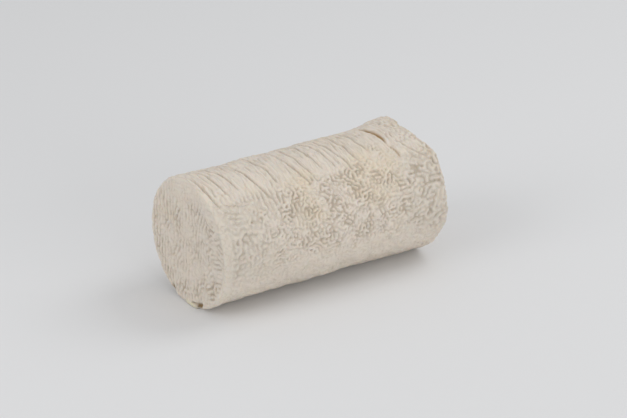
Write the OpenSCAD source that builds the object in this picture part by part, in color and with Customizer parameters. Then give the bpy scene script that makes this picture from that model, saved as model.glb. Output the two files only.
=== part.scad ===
// A whole soft goat cheese log with a wrinkled rind, lying on its side.
// One solid: a round log with a flat foot, a crisp near end, a slumped far end,
// creases across its top and one deep fold close to the far end.
// It lies along X, with the near end at low X. Angles round it run from the back,
// over the top, to the front, and distances along it start at the near face.

/* [Log] */
// Length of the log from end to end
log_length = 99.6; // [78:0.2:125]
// Diameter of the log across its width
log_diameter = 50.4; // [40:0.2:62]
// Width of the flat foot pressed into it by its own weight
foot_width = 12.5; // [9:0.5:18]
// How much the log narrows at the middle of its length
waist_depth = 0.4; // [0:0.05:1]
// Height of the soft unevenness all over it
lump_height = 0.3; // [0:0.05:0.6]

/* [Near end] */
// Rounding of the crisp rim at the near end
near_rim_radius = 1.2; // [0.8:0.1:3]
// How deep the middle of the near face is sunk
near_face_dish = 0.5; // [0:0.1:1.5]
// Depth of the groove just behind the near rim
rim_groove_depth = 0.45; // [0:0.05:0.8]
// Width of that groove
rim_groove_width = 3; // [2:0.1:4]
// Distance of that groove from the near face, halfway along it
rim_groove_setback = 3.1; // [2.6:0.1:5]

/* [Far end] */
// Rounding of the slumped rim at the far end
far_rim_radius = 2.4; // [1.5:0.1:4.5]
// How deep the middle of the far face is sunk
far_face_dish = 0.6; // [0:0.1:1.5]
// How much shorter the far end is at its top
far_slump = 2.4; // [0:0.2:5]
// Length over which it draws back to that
far_slump_run = 26; // [18:1:36]
// How far the top of the far end is pressed down
far_sink = 1.5; // [0:0.1:3]
// How far its raised back corner stands out
far_flare = 1.9; // [0:0.1:3]
// Length over which that corner rises
far_flare_run = 22; // [14:1:32]
// How far the front of the far end bulges
far_bulge = 0.9; // [0:0.1:1.5]
// How far the shoulder between its top and its front stands out
far_shoulder = 0.9; // [0:0.1:1.5]
// Length over which the top sinks and the front and the shoulder swell
far_swell_run = 16; // [10:1:24]

/* [Creases] */
// Depth of each crease across the top
crease_depth = 0.5; // [0:0.05:0.9]
// Width of each crease across the top
crease_width = 3.2; // [2.4:0.1:4.5]
// How far round the log each crease reaches, in degrees
crease_reach = 112; // [70:2:150]

/* [Deep fold] */
// Distance of the deep fold from the far end
fold_setback = 19.1; // [14:0.1:26]
// Depth of the deep fold
fold_depth = 1.0; // [0:0.05:1.5]
// Width of the deep fold
fold_width = 3.6; // [2.8:0.1:5]
// How far round the log the deep fold reaches, in degrees
fold_reach = 78; // [40:2:120]
// How far the rind stands up just beyond the fold
fold_rise = 0.5; // [0:0.1:1.2]
// Half the width of that raised rind
fold_rise_spread = 7.5; // [5:0.5:10]

/* [Hidden] */

// Facets round the log, along its body, round each rim and across each face
facets_round = 48;
facets_along = 60;
facets_rim = 3;
facets_face = 3;
rind_colour = [0.86, 0.82, 0.74];

log_radius = log_diameter / 2;
foot_drop = sqrt(pow(log_radius, 2) - pow(foot_width / 2, 2));
fold_distance = log_length - fold_setback;

// Directions round the log, in degrees
full_turn = 360;
half_turn = 180;
quarter_turn = 90;
back_corner_angle = 54;
crease_angle = 78;
top_angle = 90;
slump_angle = 92;
fold_angle = 96;
sink_angle = 98;
groove_angle = 104;
shoulder_angle = 137;
front_angle = 180;
under_angle = 270;

// How far each local form spreads to either side of its direction, in degrees
flare_spread = 30;
slump_spread = 44;
sink_spread = 46;
groove_spread = 50;
shoulder_spread = 24;
bulge_spread = 62;
fade_speed = 3;

// The creases across the top: the place of each as a share of the stretch up to the fold,
// how far it leans and how far it bows over its reach, and its share of the full depth
near_crease = [0.256, 3, 24, 1];
middle_crease = [0.494, 0, 40, 1];
twin_crease = [0.590, -8, 36, 0.8];
late_crease = [0.733, -10, 0, 0.8];
small_crease = [0.841, -6, 0, 0.6];
creases = [near_crease, middle_crease, twin_crease, late_crease, small_crease];
deep_fold = [1, 1.6, 12, 1];
groove_lean = 8;

// The unevenness: turns of each wave round the log, its length along it and its start
broad_wave = [2, 53, 20];
cross_wave = [3, -37, 140];
tight_wave = [5, 29, 75];
waves = [broad_wave, cross_wave, tight_wave];

// Rises smoothly from 0 to 1 as v goes from 0 to 1
function ease(v) = let (c = min(1, max(0, v))) c * c * (3 - 2 * c);

// A smooth hump of height 1 at d = 0 that ends at a distance of half
function hump(d, half) = abs(d) < half ? (1 + cos(half_turn * d / half)) / 2 : 0;

// The shortest turn from angle b to angle a
function turn(a, b) = let (d = (a - b) % full_turn)
    d > half_turn ? d - full_turn : (d < -half_turn ? d + full_turn : d);

// Full over most of a reach round the log, and fading out at both of its ends
function fade(a, middle, reach) = ease(fade_speed * hump(turn(a, middle), reach / 2));

// Rises toward the far end over the last stretch of a given length
function near_far_end(t, run) = ease((t - log_length + run) / run);

// Sum and middle of a list
function total(list) = [for (v = list) 1] * list;
function middle_of(ring) = total(ring) / len(ring);

// Soft unevenness of the rind at distance t along the log and angle a round it
function lumps(t, a) = lump_height
    * middle_of([for (w = waves) sin(w[0] * a + full_turn * t / w[1] + w[2])]);

// The narrowing at mid length
function waist(t) = waist_depth * sin(half_turn * min(1, max(0, t / log_length)));

// Where a crease lies along the log at angle a
function crease_line(c, a, reach) = let (share = turn(a, top_angle) / reach)
    c[0] * fold_distance + c[1] * share + c[2] * share * share;

// Depth of all the creases across the top
function crease_cut(t, a) = crease_depth * fade(a, crease_angle, crease_reach)
    * max([for (c = creases) c[3] * hump(t - crease_line(c, a, crease_reach), crease_width / 2)]);

// The deep fold and the raised rind just beyond it
function fold_cut(t, a) = fold_depth * fade(a, fold_angle, fold_reach)
    * hump(t - crease_line(deep_fold, a, fold_reach), fold_width / 2);
function fold_swell(t, a) = fold_rise * fade(a, fold_angle, fold_reach)
    * hump(t - crease_line(deep_fold, a, fold_reach) - (fold_rise_spread + fold_width) / 2,
        fold_rise_spread);

// The groove just behind the near rim, which runs further from the face toward the front
function groove_line(a) = max(near_rim_radius + rim_groove_width / 2,
    rim_groove_setback + groove_lean * turn(a, groove_angle) / quarter_turn);
function rim_groove(t, a) = rim_groove_depth * hump(turn(a, groove_angle), groove_spread)
    * hump(t - groove_line(a), rim_groove_width / 2);

// The far end's raised back corner, bulging front, shoulder and sunken top
function flare(t, a) = far_flare * hump(turn(a, back_corner_angle), flare_spread)
    * near_far_end(t, far_flare_run);
function bulge(t, a) = far_bulge * hump(turn(a, front_angle), bulge_spread)
    * near_far_end(t, far_swell_run);
function shoulder(t, a) = far_shoulder * hump(turn(a, shoulder_angle), shoulder_spread)
    * near_far_end(t, far_swell_run);
function sink(t, a) = far_sink * hump(turn(a, sink_angle), sink_spread)
    * near_far_end(t, far_swell_run);

// Distance of the rind from the axis
function reach(t, a) = log_radius - waist(t) + lumps(t, a)
    + flare(t, a) + bulge(t, a) + shoulder(t, a) + fold_swell(t, a)
    - fold_cut(t, a) - crease_cut(t, a) - rim_groove(t, a) - sink(t, a);

// How far the slumped top of the far end is drawn back
function drawn_back(t, a) = far_slump * hump(turn(a, slump_angle), slump_spread)
    * near_far_end(t, far_slump_run);

// A point of the rind; inset takes it in at the rims, and the foot stays flat
function rind_point(t, a, inset) = let (r = reach(t, a) - inset)
    [t - drawn_back(t, a), r * cos(a), max(r * sin(a), inset - foot_drop)];

// Stations along the log, each with its inset: near rim, body, far rim
rim_turn = quarter_turn / facets_rim;
body_end = log_length - far_rim_radius;
near_stations = [for (i = [facets_rim : -1 : 1])
    [near_rim_radius * (1 - sin(i * rim_turn)), near_rim_radius * (1 - cos(i * rim_turn))]];
body_stations = [for (i = [0 : facets_along])
    [near_rim_radius + (body_end - near_rim_radius) * i / facets_along, 0]];
far_stations = [for (i = [1 : facets_rim])
    [body_end + far_rim_radius * sin(i * rim_turn), far_rim_radius * (1 - cos(i * rim_turn))]];
stations = concat(near_stations, body_stations, far_stations);

angles = [for (i = [0 : facets_round - 1]) under_angle + full_turn * i / facets_round];
rings = [for (s = stations) [for (a = angles) rind_point(s[0], a, s[1])]];
near_rim = rings[0];
far_rim = rings[len(rings) - 1];

// Rings across an end face, each a share of its rim, sunk toward the middle by the dish
function face_ring(rim, share, dish) = let (m = middle_of(rim))
    [for (p = rim) m + (p - m) * share + [dish * (1 - share * share), 0, 0]];
near_face_rings = [for (i = [1 : facets_face])
    face_ring(near_rim, i / (facets_face + 1), near_face_dish)];
far_face_rings = [for (i = [facets_face : -1 : 1])
    face_ring(far_rim, i / (facets_face + 1), -far_face_dish)];
all_rings = concat(near_face_rings, rings, far_face_rings);

near_centre = middle_of(near_rim) + [near_face_dish, 0, 0];
far_centre = middle_of(far_rim) - [far_face_dish, 0, 0];
loose_points = concat([for (ring = all_rings) for (p = ring) p], [near_centre, far_centre]);

// Moved so that the origin is on the floor, under the middle of the log's outline box
function low(i) = min([for (p = loose_points) p[i]]);
function high(i) = max([for (p = loose_points) p[i]]);
origin = [(low(0) + high(0)) / 2, (low(1) + high(1)) / 2, low(2)];
points = [for (p = loose_points) p - origin];

// Triangles between neighbouring rings, and a fan round the centre of each face
ring_total = len(all_rings);
near_index = ring_total * facets_round;
far_index = near_index + 1;
function at(ring, i) = ring * facets_round + i % facets_round;
walls = [for (k = [0 : ring_total - 2]) for (i = [0 : facets_round - 1])
    each [[at(k, i), at(k + 1, i + 1), at(k, i + 1)], [at(k, i), at(k + 1, i), at(k + 1, i + 1)]]];
near_fan = [for (i = [0 : facets_round - 1]) [near_index, at(0, i), at(0, i + 1)]];
far_fan = [for (i = [0 : facets_round - 1])
    [far_index, at(ring_total - 1, i + 1), at(ring_total - 1, i)]];

// The whole log as one solid
module cheese_log() {
    color(rind_colour)
        polyhedron(points = points, faces = concat(walls, near_fan, far_fan), convexity = 4);
}

cheese_log();
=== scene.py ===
"""A whole soft goat cheese log with a wrinkled rind, lying on a plain pale floor.

The log is one piece. Its shape is drawn onto the CAD log, and the wrinkles, the creases,
the deep fold, the raised rind and the chipped rim are then carved and raised in its mesh.
Distances along the log run from its middle toward the far end, and angles round it run
from the back, over the top, to the front. Both are measured from the axis of the log.
"""

import logging
import math
from collections.abc import Callable
from dataclasses import dataclass, field
from enum import Enum

import bpy
import numpy as np
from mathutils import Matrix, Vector


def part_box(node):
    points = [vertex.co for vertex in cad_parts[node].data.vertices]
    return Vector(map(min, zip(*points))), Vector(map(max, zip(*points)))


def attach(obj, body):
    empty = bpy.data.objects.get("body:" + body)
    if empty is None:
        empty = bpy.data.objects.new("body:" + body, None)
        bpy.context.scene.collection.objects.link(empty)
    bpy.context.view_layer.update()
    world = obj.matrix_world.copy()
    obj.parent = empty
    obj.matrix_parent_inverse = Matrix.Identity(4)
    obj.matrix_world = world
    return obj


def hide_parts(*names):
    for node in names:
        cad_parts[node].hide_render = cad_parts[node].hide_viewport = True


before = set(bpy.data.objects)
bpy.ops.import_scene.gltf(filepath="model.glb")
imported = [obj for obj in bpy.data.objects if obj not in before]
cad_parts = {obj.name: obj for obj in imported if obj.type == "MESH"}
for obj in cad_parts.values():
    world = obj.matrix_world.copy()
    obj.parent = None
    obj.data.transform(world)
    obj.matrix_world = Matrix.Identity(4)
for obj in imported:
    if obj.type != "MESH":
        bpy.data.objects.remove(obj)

LOG = logging.getLogger("goat_cheese")
MM = 0.001
QUARTER_TURN = 90.0
HALF_TURN = 180.0
FULL_TURN = 360.0
BACK_ANGLE = 0.0
TOP_ANGLE = 90.0
FOOT_ANGLE = 270.0
AXIS_SIDE = 0.41 * MM
AXIS_HEIGHT = 24.41 * MM
PATCH_STRENGTH = 0.2
PATCH_LIMIT = 1.6

Colour = tuple[float, float, float]
Pair = tuple[float, float]


class End(Enum):
    """The two ends of the log, by the side of its middle that each is on."""

    NEAR = -1
    FAR = 1


class Mark(Enum):
    """The values that the mesh carries for its finish, by attribute name."""

    # The groove mark also sets the painted shade in the grooves and the painted highlight on the
    # ridge tops.
    GROOVE = "rind_groove"
    RIPE = "rind_ripe"
    STAIN = "rind_stain"
    CRUST = "rind_crust"
    FLAKE = "rind_flake"
    BAND = "rind_band"
    DULL = "rind_dull"


def ease(low: float, high: float, value: np.ndarray) -> np.ndarray:
    """Rises smoothly from 0 at low to 1 at high.

    Args:
        low: Value below which the result is 0.
        high: Value above which the result is 1.
        value: Values to read.

    Returns:
        The eased share for each value.
    """
    share = np.clip((value - low) / (high - low), 0.0, 1.0)
    return share * share * (3.0 - 2.0 * share)


def hill(offset: np.ndarray, half: float) -> np.ndarray:
    """A soft bell of height 1 at no offset, with the given half width."""
    return np.exp(-((offset / half) ** 2))


def turn_from(middle: float, angle: np.ndarray) -> np.ndarray:
    """The turn from one angle to each of the others, from -180 to 180 degrees."""
    return (angle - middle + HALF_TURN) % FULL_TURN - HALF_TURN


def patchy(patches: np.ndarray) -> np.ndarray:
    """How much deeper or shallower the grooves are made by soft unevenness."""
    return 1.0 + PATCH_STRENGTH * np.clip(patches, -PATCH_LIMIT, PATCH_LIMIT)


def deselect_all() -> None:
    """Leaves nothing selected, whatever the last step selected."""
    for item in bpy.context.selected_objects:
        item.select_set(False)
    bpy.context.view_layer.objects.active = None


def make_active(item: bpy.types.Object) -> None:
    """Selects one object alone and makes it the active one.

    Args:
        item: The object.
    """
    deselect_all()
    item.select_set(True)
    bpy.context.view_layer.objects.active = item


def apply_modifier(item: bpy.types.Object, kind: str, **settings: object) -> None:
    """Adds a modifier with the given settings to a piece, and applies it.

    Args:
        item: The piece.
        kind: Blender's name for the modifier's type.
        **settings: The modifier's own settings.
    """
    make_active(item)
    modifier = item.modifiers.new(kind.title(), kind)
    for name, value in settings.items():
        setattr(modifier, name, value)
    bpy.ops.object.modifier_apply(modifier=modifier.name)


@dataclass(frozen=True)
class Span:
    """A stretch of angle or distance that rises from start to full and falls from fade to end."""

    start: float
    full: float
    fade: float
    end: float

    def share(self, value: np.ndarray) -> np.ndarray:
        """How far inside the stretch each value is, from 0 to 1."""
        return ease(self.start, self.full, value) * (1.0 - ease(self.fade, self.end, value))


@dataclass
class WrinkleSheet:
    """A flat sheet, closed on itself both ways, on which rind wrinkles are grown.

    The wrinkles come from a skin that grows faster than what it lies on, so that it buckles
    at its own spacing. A field is high on a ridge and low in a groove. Lengths are in mm.

    step is the size of the sheet's grid. pace and growth say how fast the skin buckles,
    lopsided makes its ridges wider than its grooves, and limit keeps it from running away.
    evening, fullness and least_strength even out its height in the end. drawn_out is how
    far its first unevenness is drawn out where it is combed, and full_comb is the comb at
    which all of it is.
    """

    across: float
    along: float
    step: float = 0.26
    pace: float = 0.3
    growth: float = 0.6
    lopsided: float = 0.35
    limit: float = 1.5
    evening: float = 3.2
    fullness: float = 1.45
    least_strength: float = 0.01
    drawn_out: float = 9.0
    full_comb: float = 0.8
    rows: int = field(init=False)
    columns: int = field(init=False)

    def __post_init__(self) -> None:
        """Sets out the sheet's grid and its wave numbers."""
        self.rows = 2 * round(self.across / self.step / 2)
        self.columns = 2 * round(self.along / self.step / 2)
        turn = 2.0 * math.pi
        waves_across = turn * np.fft.fftfreq(self.rows, self.across / self.rows)
        waves_along = turn * np.fft.rfftfreq(self.columns, self.along / self.columns)
        self.wave_across, self.wave_along = np.meshgrid(waves_across, waves_along, indexing="ij")
        places_across = (np.arange(self.rows) + 0.5) * self.across / self.rows
        places_along = (np.arange(self.columns) + 0.5) * self.along / self.columns
        places_along = places_along - self.along / 2
        self.place_across, self.place_along = np.meshgrid(
            places_across, places_along, indexing="ij"
        )

    def back(self, waves: np.ndarray) -> np.ndarray:
        """Turns wave strengths back into a field on the sheet."""
        return np.fft.irfft2(waves, s=(self.rows, self.columns))

    def mottle(self, scale: float, seed: int) -> np.ndarray:
        """Soft seeded unevenness with a spread of 1.

        Args:
            scale: Size of its patches.
            seed: Seed of the pattern.

        Returns:
            A field on the sheet.
        """
        loose = np.random.default_rng(seed).standard_normal((self.rows, self.columns))
        soft = self.soften(loose, scale)
        return soft / soft.std()

    def soften(self, values: np.ndarray, scale: float) -> np.ndarray:
        """Blurs a field over the given distance."""
        square = self.wave_across**2 + self.wave_along**2
        return self.back(np.fft.rfft2(values) * np.exp(-square * scale**2 / 4))

    def settle_rate(self, spacing: float) -> np.ndarray:
        """How each wave settles in one step.

        Args:
            spacing: The spacing at which the skin buckles.

        Returns:
            What each wave is divided by.
        """
        own = 2.0 * math.pi / spacing
        square = (self.wave_across**2 + self.wave_along**2) / own**2
        return 1.0 - self.pace * (self.growth - (1.0 - square) ** 2)

    def grow(
        self,
        fine: float,
        coarse: float,
        fine_share: np.ndarray,
        comb_across: np.ndarray,
        comb_along: np.ndarray,
        drive: np.ndarray,
        steps: int,
        seed: int,
    ) -> np.ndarray:
        """Grows the wrinkles.

        Args:
            fine: Spacing of the wrinkles where fine_share is 1.
            coarse: Spacing of the wrinkles where fine_share is 0.
            fine_share: Where the wrinkles are fine, from 0 to 1.
            comb_across: How strongly the wrinkles run across the sheet.
            comb_along: How strongly the wrinkles run along the sheet.
            drive: Push toward a ridge, or toward a groove where it is below 0.
            steps: Number of steps to grow for.
            seed: Seed of the first unevenness.

        Returns:
            The height of the skin between 0 in a groove and 1 on a ridge.
        """
        loose = np.random.default_rng(seed).standard_normal((self.rows, self.columns))
        reach = np.exp(-((self.wave_across * self.drawn_out) ** 2) / 4)
        drawn = self.back(np.fft.rfft2(loose) * reach)
        combed = np.clip(comb_across / self.full_comb, 0.0, 1.0)
        skin = self.growth / 2 * (loose + (drawn / drawn.std() - loose) * combed)
        own_square = (4.0 * math.pi / (fine + coarse)) ** 2
        fine_rate = self.settle_rate(fine)
        coarse_rate = self.settle_rate(coarse)
        for _ in range(steps):
            waves = np.fft.rfft2(skin)
            push = drive + self.lopsided * skin * skin - skin**3
            push += comb_across * self.back(-(self.wave_across**2) / own_square * waves)
            push += comb_along * self.back(-(self.wave_along**2) / own_square * waves)
            pushed = waves + self.pace * np.fft.rfft2(push)
            fine_skin = self.back(pushed / fine_rate)
            coarse_skin = self.back(pushed / coarse_rate)
            skin = coarse_skin + (fine_skin - coarse_skin) * fine_share
            skin = np.clip(skin, -self.limit, self.limit)
        square = np.maximum(self.soften(skin * skin, self.evening), 0.0)
        strength = np.sqrt(square + self.least_strength)
        even = np.clip(skin / (self.fullness * strength), -1.0, 1.0)
        return (1.0 + even) / 2

    def read(self, values: np.ndarray, across: np.ndarray, along: np.ndarray) -> np.ndarray:
        """Reads a field of the sheet at any places.

        Args:
            values: The field.
            across: Places across the sheet.
            along: Places along the sheet, from its middle.

        Returns:
            The value at each place.
        """
        row = across / self.across * self.rows - 0.5
        column = (along / self.along + 0.5) * self.columns - 0.5
        low_row = np.floor(row).astype(int)
        low_column = np.floor(column).astype(int)
        row_share = row - low_row
        column_share = column - low_column
        rows = (low_row % self.rows, (low_row + 1) % self.rows)
        columns = (low_column % self.columns, (low_column + 1) % self.columns)
        near = values[rows[0], columns[0]] * (1 - column_share)
        near = near + values[rows[0], columns[1]] * column_share
        far = values[rows[1], columns[0]] * (1 - column_share)
        far = far + values[rows[1], columns[1]] * column_share
        return near * (1 - row_share) + far * row_share


@dataclass(frozen=True)
class Mottle:
    """Soft seeded unevenness on a sheet: its strength, the size of its patches and its seed."""

    strength: float
    scale: float
    seed: int

    def on(self, sheet: WrinkleSheet) -> np.ndarray:
        """The unevenness as a field on the sheet."""
        return self.strength * sheet.mottle(self.scale, self.seed)


@dataclass(frozen=True)
class LaidOut:
    """The log's vertices laid out on a sheet. Lengths are in mm."""

    sheet: WrinkleSheet
    across: np.ndarray
    along: np.ndarray

    def read(self, values: np.ndarray) -> np.ndarray:
        """Reads a field of the sheet at each vertex."""
        return self.sheet.read(values, self.across, self.along)

    def mottle(self, mottle: Mottle) -> np.ndarray:
        """Reads soft unevenness at each vertex."""
        return mottle.strength * self.read(self.sheet.mottle(mottle.scale, mottle.seed))


@dataclass(frozen=True)
class Crease:
    """One narrow crease that runs round the top of the log. Lengths are in mm.

    place is where it crosses the very top, lean and bow say how it runs toward the far end
    on its way down to the front, and start and end are the angles that it runs between.
    pull is how strongly it draws the wrinkles beside it.
    """

    place: float
    lean: float
    bow: float
    start: float
    end: float
    depth: float
    pull: float
    width: float = 0.42
    stain: float = 0.0
    spread: float = 40.0
    taper: float = 5.0

    def line(self, angle: np.ndarray) -> np.ndarray:
        """Where the crease lies along the log at each angle."""
        share = (angle - TOP_ANGLE) / self.spread
        return self.place + self.lean * share + self.bow * np.maximum(share, 0.0) ** 2

    def window(self, angle: np.ndarray) -> np.ndarray:
        """Full over the crease's reach, and fading out at both of its ends."""
        rise = ease(self.start - self.taper, self.start + self.taper, angle)
        return rise * (1.0 - ease(self.end - self.taper, self.end + self.taper, angle))

    def share(self, along: np.ndarray, angle: np.ndarray, width: float) -> np.ndarray:
        """How much of the crease is felt at each place.

        Args:
            along: Distances along the log.
            angle: Angles round it.
            width: Half width to use.

        Returns:
            The share, which is 1 along the crease's line.
        """
        return self.window(angle) * hill(along - self.line(angle), width)


@dataclass(frozen=True)
class Streak:
    """One short crease that runs along the log, from one place to another. Lengths are in mm.

    turn_start and turn_end are the angles round the log at its two ends. body is the part
    of its own length that it fills, with its two soft ends.
    """

    start: float
    end: float
    turn_start: float
    turn_end: float
    depth: float = 0.75
    width: float = 0.42
    body: Span = Span(-0.1, 0.15, 0.8, 1.1)

    def share(self, along: np.ndarray, angle: np.ndarray, arc: float) -> np.ndarray:
        """How much of the streak is felt at each place.

        Args:
            along: Distances along the log.
            angle: Angles round it.
            arc: Length round the log of one degree.

        Returns:
            The share, which is 1 along the streak's line.
        """
        passed = (along - self.start) / (self.end - self.start)
        line = self.turn_start + (self.turn_end - self.turn_start) * passed
        return self.body.share(passed) * hill((angle - line) * arc, self.width)


@dataclass(frozen=True)
class RindPlaces:
    """Where each vertex of the log lies on its rind. Lengths are in mm.

    along runs on over each rim by how far the vertex is in from it, inward is that distance
    on the end faces, side and up are measured from the axis, and facing is how far the rind
    faces along the log there.
    """

    along: np.ndarray
    angle: np.ndarray
    inward: np.ndarray
    side: np.ndarray
    up: np.ndarray
    facing: np.ndarray
    side_fade: Pair = (0.5, 2.0)

    def on_side(self) -> np.ndarray:
        """1 on the round side, and fading to 0 just inside the rims of the end faces."""
        return 1.0 - ease(*self.side_fade, self.inward)


@dataclass(frozen=True)
class Spot:
    """A soft spot on the round side: its place and angle, and its half width each way."""

    place: float
    angle: float
    half_along: float
    half_round: float

    def share(self, places: RindPlaces) -> np.ndarray:
        """How much of the spot is felt at each vertex, from 0 to 1."""
        along = hill(places.along - self.place, self.half_along)
        return along * hill(places.angle - self.angle, self.half_round)


@dataclass
class Relief:
    """What each vertex is moved by, in mm, and the marks that it takes, from 0 to 1."""

    carve: np.ndarray
    groove: np.ndarray
    lift: np.ndarray
    stain: np.ndarray
    crust: np.ndarray
    flake: np.ndarray

    def cut(self, share: np.ndarray, depth: float, groove: float, stain: float = 0.0) -> None:
        """Cuts one crease where it is deeper than what is already carved.

        Args:
            share: How much of the crease is felt at each vertex.
            depth: Its full depth.
            groove: How strongly it is marked as a groove.
            stain: How strongly it is stained.
        """
        self.carve = np.maximum(self.carve, depth * share)
        self.groove = np.maximum(self.groove, share * groove)
        self.stain = np.maximum(self.stain, stain * share)


@dataclass
class SideRind:
    """The wrinkles and creases of the log's round side. Lengths are in mm, angles in degrees.

    The band lies across the top, where the wrinkles run round the log. The front is below
    it, with a crinkled middle between two duller ends, and the low part is below that. A
    name that ends in round is a span of angles, and one that ends in along is a span along
    the log.
    """

    girth: float = 158.4
    sheet_length: float = 104.0
    steps: int = 44
    seed: int = 7

    fine_spacing: float = 1.5
    coarse_spacing: float = 1.9
    fine_along: Span = Span(-42.0, -24.0, 25.0, 39.0)
    fine_edge: Mottle = Mottle(3.6, 5.0, 31)
    fine_lost_in_band: float = 0.85
    drives: tuple[Mottle, Mottle] = (Mottle(0.15, 1.1, 21), Mottle(0.10, 0.6, 22))
    drive_lost_in_band: float = 0.6

    band_comb: float = 1.1
    band_start: float = 30.0
    band_start_edge: Mottle = Mottle(5.0, 6.0, 5)
    band_rise: Pair = (0.0, 14.0)
    band_end: float = 124.0
    band_end_edges: tuple[Mottle, Mottle] = (Mottle(6.0, 6.0, 3), Mottle(4.0, 2.5, 4))
    band_fall: Pair = (-8.0, 8.0)
    band_narrowing: float = 15.0
    narrowing_along: Pair = (12.0, 24.0)
    band_lost_beyond: float = 0.8
    beyond_along: Pair = (33.0, 38.0)

    crease_pull: float = 0.8
    pull_width: float = 0.55
    wobble: float = 0.32
    wobble_scale: float = 3.0
    wobble_seed: int = 500

    long_spacing: float = 3.4
    long_depth: float = 0.38
    long_sharpness: int = 3
    # long_mark also sets how much painted shade the finish lays into the deeper grooves.
    long_mark: float = 0.7
    long_drives: tuple[Mottle, Mottle] = (Mottle(0.16, 1.6, 25), Mottle(0.1, 0.8, 26))
    long_round: Span = Span(118.0, 132.0, 182.0, 202.0)
    long_along: Span = Span(-30.0, -18.0, 26.0, 44.0)
    long_back_round: Span = Span(-60.0, -30.0, 20.0, 40.0)
    long_at_ends: float = 0.28
    long_at_back: float = 0.6

    band_round: Span = Span(30.0, 44.0, 116.0, 132.0)
    front_round: Span = Span(116.0, 132.0, 178.0, 206.0)
    low_round: Span = Span(178.0, 206.0, 300.0, 330.0)
    deep_along: Span = Span(-36.0, -20.0, 26.0, 40.0)
    crinkled_round: Span = Span(116.0, 132.0, 176.0, 206.0)
    crinkled_along: Span = Span(-34.0, -18.0, 26.0, 40.0)
    dull_round: Span = Span(118.0, 136.0, 186.0, 216.0)
    bright_along: Span = Span(-40.0, -14.0, 24.0, 44.0)

    middle_depth: float = 0.84
    band_depth: float = 0.58
    near_depth: float = 0.66
    far_depth: float = 0.8
    near_to_far: Pair = (0.0, 40.0)
    back_depth: float = 0.76
    low_depth: float = 0.46
    lip_gain: float = 0.2
    lip_along: Pair = (32.0, 36.0)
    broken: float = 0.3
    broken_middle: float = 0.1
    foot_turns: Pair = (12.0, 28.0)
    rim_line: float = -49.0
    rim_fade: float = 1.2
    smooth_rim_round: Span = Span(146.0, 158.0, 228.0, 250.0)
    smooth_rim_setback: float = 2.2
    smooth_rim_fade: float = 1.4
    over_rim: Pair = (1.6, 4.0)

    def fold(self) -> Crease:
        """Gives the deep fold near the far end.

        Returns:
            The fold.
        """
        return Crease(
            place=31.4, lean=1.1, bow=1.0, start=75, end=109,
            depth=1.2, pull=1.5, width=0.5, stain=1.0, taper=8.0,
        )

    def creases(self) -> tuple[Crease, ...]:
        """Lists the creases across the top, from the near end to the far one.

        Returns:
            The creases, with the fold among them.
        """
        return (
            Crease(place=-48.2, lean=1.4, bow=1.6, start=84, end=132, depth=0.9, pull=1.2),
            Crease(place=-41.6, lean=1.6, bow=1.0, start=50, end=120, depth=0.8, pull=0.9),
            Crease(place=-36.6, lean=1.8, bow=1.0, start=46, end=120, depth=0.8, pull=0.9),
            Crease(place=-29.2, lean=2.0, bow=2.4, start=44, end=136, depth=1.1, pull=1.3),
            Crease(place=-20.6, lean=1.4, bow=1.4, start=48, end=122, depth=0.8, pull=0.9),
            Crease(place=-10.3, lean=1.2, bow=3.2, start=42, end=126, depth=1.3, pull=1.5),
            Crease(place=-5.9, lean=1.2, bow=1.8, start=52, end=124, depth=0.95, pull=1.1),
            Crease(place=0.2, lean=1.2, bow=1.2, start=56, end=120, depth=0.7, pull=0.8),
            Crease(place=5.0, lean=2.0, bow=1.6, start=50, end=122, depth=0.7, pull=0.8),
            Crease(place=10.0, lean=1.0, bow=2.6, start=46, end=128, depth=0.95, pull=1.1),
            Crease(place=15.6, lean=1.2, bow=1.4, start=44, end=120, depth=1.05, pull=1.2),
            Crease(place=22.0, lean=1.0, bow=1.0, start=54, end=114, depth=0.7, pull=0.8),
            self.fold(),
            Crease(
                place=31.7, lean=1.0, bow=1.9, start=113, end=128,
                depth=0.75, pull=1.5, stain=0.55,
            ),
            Crease(
                place=31.0, lean=8.2, bow=3.4, start=114, end=134,
                depth=0.5, pull=0.9, width=0.5, stain=0.2,
            ),
        )

    def streaks(self) -> tuple[Streak, ...]:
        """Lists the short creases that run along the log, just behind the near rim.

        Returns:
            The streaks.
        """
        return (
            Streak(start=-43.6, end=-36.0, turn_start=129.5, turn_end=134.5),
            Streak(start=-44.8, end=-38.0, turn_start=136.0, turn_end=140.6),
            Streak(start=-44.6, end=-38.4, turn_start=141.6, turn_end=144.4),
            Streak(start=-43.8, end=-39.8, turn_start=147.2, turn_end=148.6, depth=0.5),
        )

    def crease_wobble(self, index: int) -> Mottle:
        """How the crease with this number strays from its line."""
        return Mottle(self.wobble, self.wobble_scale, self.wobble_seed + index)

    def grow(self) -> tuple[WrinkleSheet, np.ndarray]:
        """Grows the wrinkles of the side.

        Returns:
            The sheet and the height field grown on it.
        """
        sheet = WrinkleSheet(across=self.girth, along=self.sheet_length)
        angle = sheet.place_across / self.girth * FULL_TURN
        along = sheet.place_along
        band = self.band_share(sheet, angle)
        drive = self.drives[0].on(sheet) + self.drives[1].on(sheet)
        drive *= 1.0 - self.drive_lost_in_band * band
        for index, crease in enumerate(self.creases()):
            astray = along - self.crease_wobble(index).on(sheet)
            drive -= self.crease_pull * crease.pull * crease.share(astray, angle, self.pull_width)
        fine = self.fine_along.share(along + self.fine_edge.on(sheet))
        fine *= 1.0 - self.fine_lost_in_band * band
        height = sheet.grow(
            fine=self.fine_spacing,
            coarse=self.coarse_spacing,
            fine_share=fine,
            comb_across=self.band_comb * band,
            comb_along=np.zeros_like(band),
            drive=drive,
            steps=self.steps,
            seed=self.seed,
        )
        return sheet, height

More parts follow.
